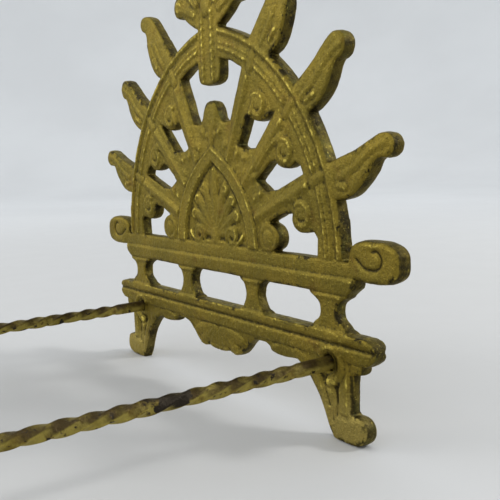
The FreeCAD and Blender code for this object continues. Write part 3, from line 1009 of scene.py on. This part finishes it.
GOLD = (0.216, 0.157, 0.021)
OLIVE = (0.165, 0.126, 0.018)
BROWN = (0.120, 0.066, 0.011)
# bright gold for rubbed wear, for painted highlights on ridges, and for painted glints
WORN_GILT_AND_HIGHLIGHT = (0.70, 0.56, 0.11)
# painted light: a paler gilt for the lowest parts, standing in for light from the floor
PAINTED_LOW_LIGHT = (0.36, 0.28, 0.075)
TINT = (1.0, 0.9, 0.6)  # of the reflections at grazing angles
# dark for dirt, specks and chips, and for painted shade in hollows and on the side faces
GRIME_AND_SHADE = (0.018, 0.014, 0.005)
VERDIGRIS = (0.060, 0.062, 0.018)
BARE = (0.014, 0.010, 0.008)
PALE_GILT = (0.30, 0.24, 0.05)
# painted shade for the rods' upper faces
ROD_TOP_SHADE = (0.036, 0.022, 0.006)


def gilt(name):
    """Old bronze paint over iron: olive gold, bright on ridges with wear and painted highlights, dark in
    hollows and on side faces with dirt, patina and painted shade, chipped near edges, and paler low down as
    painted light.
    """
    n = Nodes(name)
    patches = n.ramp(n.noise(70, 4, 0.55), 0.38, 0.66)
    colour = n.mix(patches, OLIVE, GOLD)
    # painted light: below 19 mm the castings turn paler, most at the feet, as if lit from the floor
    colour = n.mix(n.ramp(n.split(n.place, 2), 0.019, 0.005, 0, 0.8), colour, PAINTED_LOW_LIGHT)
    rust = n.ramp(n.noise(110, 5, 0.6, (1, 1, 1.3)), 0.57, 0.74, 0, 0.65)
    colour = n.mix(rust, colour, BROWN)
    speck = n.ramp(n.noise(1500, 3, 0.6), 0.42, 0.72, 0, 0.28)
    colour = n.mix(speck, colour, GRIME_AND_SHADE)
    height = n.math("ADD", n.attribute("relief"), n.ramp(n.noise(1000, 4, 0.65), 0.25, 0.75, -0.14, 0.14))
    # dirt and painted shade: hollows in the relief turn dark
    hollow = n.ramp(height, -0.06, -0.4, 0, 0.9)
    colour = n.mix(hollow, colour, GRIME_AND_SHADE)
    # painted highlight with some rubbed wear: ridges of the relief, the casting's edges among them, turn
    # bright gold
    ridge = n.times(n.ramp(height, 0.2, 0.46), n.ramp(n.noise(160, 3, 0.5), 0.35, 0.6, 0.25, 1.0))
    colour = n.mix(ridge, colour, WORN_GILT_AND_HIGHLIGHT)
    # patina and painted shade: the casting's side faces turn dark and green
    side_patina_and_shade = n.mix(n.ramp(n.noise(190, 4, 0.6), 0.5, 0.66, 0, 0.8), GRIME_AND_SHADE, VERDIGRIS)
    edge = n.ramp(n.math("ABSOLUTE", n.facing(1)), 0.66, 0.25)
    colour = n.mix(n.times(edge, n.ramp(n.noise(300, 4, 0.6), 0.3, 0.62, 1.0, 0.6)), colour, side_patina_and_shade)
    chips = n.times(n.ramp(n.attribute("inward"), 0.97, 0.75), n.ramp(n.noise(330, 5, 0.7), 0.5, 0.57))
    colour = n.mix(n.times(chips, n.ramp(n.noise(60, 2, 0.5), 0.42, 0.55, 0.2, 1.0)), colour, GRIME_AND_SHADE)
    # painted glints: tiny specks of the bright highlight gold
    glint = n.ramp(n.noise(1300, 4, 0.7), 0.60, 0.70, 0, 0.35)
    colour = n.mix(glint, colour, WORN_GILT_AND_HIGHLIGHT)
    n.coat(colour, 0.82, n.ramp(n.noise(420, 4, 0.6), 0.25, 0.75, 0.34, 0.54), TINT)
    n.bump([(n.noise(2400, 3, 0.6), 0.00013), (n.noise(900, 4, 0.6), 0.00028)])
    return n.material


BARE_AT = 0.0705  # along a rod from its middle
BARE_REACH = 0.0062


def rod_gilt(name):
    """The same paint on the rods: paler below and darker on top as painted shade, chipped, and bare in one
    place.
    """
    n = Nodes(name)
    colour = n.mix(n.ramp(n.noise(170, 4, 0.6), 0.3, 0.52), OLIVE, PALE_GILT)
    colour = n.mix(n.ramp(n.noise(230, 5, 0.6), 0.52, 0.66, 0, 0.7), colour, BROWN)
    # painted shade: the rods' upper faces turn dark, the lower ones stay pale
    top = n.ramp(n.facing(2), -0.3, 0.5)
    colour = n.mix(n.times(top, n.ramp(n.noise(180, 4, 0.6), 0.3, 0.6, 0.5, 1.0)), colour, ROD_TOP_SHADE)
    colour = n.mix(n.ramp(n.noise(460, 4, 0.65), 0.58, 0.64), colour, BARE)
    away = n.math("ABSOLUTE", n.math("SUBTRACT", n.split(n.place, 1), BARE_AT))
    ragged = n.math("ADD", away, n.ramp(n.noise(260, 4, 0.6), 0.3, 0.7, -0.003, 0.003))
    bare = n.times(n.ramp(ragged, BARE_REACH, BARE_REACH - 0.001), n.ramp(n.facing(2), -0.75, -0.35))
    colour = n.mix(bare, colour, BARE)
    n.coat(colour, 0.66, n.ramp(n.noise(420, 4, 0.6), 0.25, 0.75, 0.36, 0.6), TINT)
    n.bump([(n.noise(1800, 3, 0.6), 0.00012), (n.noise(600, 4, 0.6), 0.00045)])
    return n.material


def fastener_metal(name):
    """Plated steel gone dull and brown, with bright rubbed patches."""
    n = Nodes(name)
    colour = n.mix(n.ramp(n.noise(500, 4, 0.6), 0.35, 0.7), (0.21, 0.18, 0.11), (0.09, 0.06, 0.03))
    colour = n.mix(n.ramp(n.noise(1300, 3, 0.6), 0.58, 0.7, 0, 0.7), colour, (0.42, 0.38, 0.28))
    n.coat(colour, 0.85, n.ramp(n.noise(900, 3, 0.6), 0.3, 0.7, 0.28, 0.55))
    n.bump([(n.noise(3000, 3, 0.6), 0.00003)])
    return n.material


def pale_surface(name):
    """The matt pale floor, darker near the rack as painted shade, with the faintest unevenness."""
    n = Nodes(name)
    length = n.add("ShaderNodeVectorMath", operation="LENGTH")
    n.link(n.place, length.inputs[0])
    # painted shade: the floor darkens within 1.3 m of the middle, most within 0.2 m, as under a light from
    # above
    colour = n.mix(n.ramp(length.outputs["Value"], 0.2, 1.3), (0.475, 0.475, 0.468), (0.665, 0.678, 0.685))
    colour = n.mix(n.ramp(n.noise(3, 3, 0.5), 0.3, 0.7, 0, 0.25), colour, (0.50, 0.505, 0.51))
    n.coat(colour, 0, n.ramp(n.noise(40, 2, 0.5), 0.3, 0.7, 0.7, 0.8))
    return n.material


# ---- pieces ----


def place(name, mesh, material, slot, nodes, where, turned=False):
    """Puts a piece where its CAD node is, on the rack's one body."""
    piece = add_object(name, mesh)
    if not mesh.materials:
        mesh.materials.append(material)
    turn = Matrix.Rotation(math.pi if turned else 0, 4, "Z")
    piece.matrix_world = Matrix.Translation(where) @ turn
    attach(piece, "root")
    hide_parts(*nodes)
    return piece


def build_castings():
    mesh = casting_mesh()
    material = gilt("gilt_casting")
    for end, sign in (("rear", 1), ("front", -1)):
        place(f"{end}_casting", mesh, material, "gilt_casting", [f"{end}_end_panel"],
              (0, sign * PANEL_Y, 0), turned=sign < 0)


def build_rods():
    mesh = rod_mesh()
    material = rod_gilt("gilt_rod")
    for hand, sign in (("left", -1), ("right", 1)):
        place(f"{hand}_twisted_rod", mesh, material, "gilt_rod", [f"{hand}_rod"],
              (sign * ROD_X, 0, ROD_Z), turned=sign < 0)


def build_fasteners():
    material = fastener_metal("old_steel")
    kinds = (("washer", washer_mesh(), WASHER_LOW[1]), ("nut", nut_mesh(), NUT_LOW[1]))
    for end, side in (("rear", 1), ("front", -1)):
        for hand, sign in (("left", -1), ("right", 1)):
            for kind, mesh, start in kinds:
                place(f"{end}_{hand}_{kind}_piece", mesh, material, "steel_fasteners",
                      [f"{end}_{hand}_{kind}"], (sign * ROD_X, side * start, ROD_Z), turned=side < 0)


# ---- floor, light and camera ----


def build_stage():
    """A pale round floor that curves up into a backdrop all round, well away from the rack."""
    flat, rim, height = 1.5, 1.1, 1.3
    around = 72
    profile = [(0, 0.3), (0, 0.8), (0, flat)]
    for k in range(1, 13):
        turn = math.pi / 2 * k / 12
        profile.append((height * (1 - math.cos(turn)), flat + rim * math.sin(turn)))
    skin = lathe(profile, around, lambda station, angles: np.full(around, station[1]))
    points, quads = close_end(*skin, 0, around)
    floor = add_object("floor", make_mesh("floor", points[:, [0, 2, 1]], quads))
    floor.data.materials.append(pale_surface("pale_floor"))


def soft_light(name, where, target, width, power):
    """A square lamp that points at a target. Its power is in watts."""
    lamp = bpy.data.lights.new(name, "AREA")
    lamp.shape = "SQUARE"
    lamp.size = width
    lamp.energy = power
    thing = add_object(name, lamp)
    thing.location = where
    thing.rotation_euler = (Vector(target) - thing.location).to_track_quat("-Z", "Y").to_euler()


def build_lights():
    """An even pale sky, a main lamp beside the camera, a weak one opposite and one from behind."""
    world = bpy.data.worlds.new("studio")
    world.use_nodes = True
    sky = world.node_tree.nodes["Background"]
    sky.inputs["Color"].default_value = (0.95, 0.975, 1.0, 1)
    sky.inputs["Strength"].default_value = 1.12
    bpy.context.scene.world = world
    middle = (0, 0.05, 0.05)
    soft_light("key", (-0.75, -0.7, 0.5), middle, 0.5, 3.6)
    soft_light("fill", (0.75, -0.7, 0.55), middle, 0.8, 1.2)
    soft_light("back", (0.62, 0.85, 0.7), middle, 0.2, 6.0)


def build_camera():
    """Beside the rear casting's right end, looking across its inner face."""
    data = bpy.data.cameras.new("camera")
    data.sensor_width = 36
    data.lens = 54.745
    data.clip_start = 0.005
    camera = add_object("camera", data)
    inner_face = PANEL_LOW[1] + 0.4 * UNIT
    turn, dip, tilt = math.radians(-55.78), math.radians(6.81), math.radians(-2.01)
    ahead = Vector((math.sin(turn) * math.cos(dip), math.cos(turn) * math.cos(dip), -math.sin(dip)))
    level = Vector((math.cos(turn), -math.sin(turn), 0))
    above = level.cross(ahead)
    right = math.cos(tilt) * level + math.sin(tilt) * above
    up = math.cos(tilt) * above - math.sin(tilt) * level
    basis = Matrix((right, up, -ahead)).transposed().to_4x4()
    basis.translation = Vector((142.0 * UNIT, inner_face - 87.3 * UNIT, 51.4 * UNIT))
    camera.matrix_world = basis
    bpy.context.scene.camera = camera


build_camera()
build_stage()
build_lights()
build_castings()
build_rods()
build_fasteners()
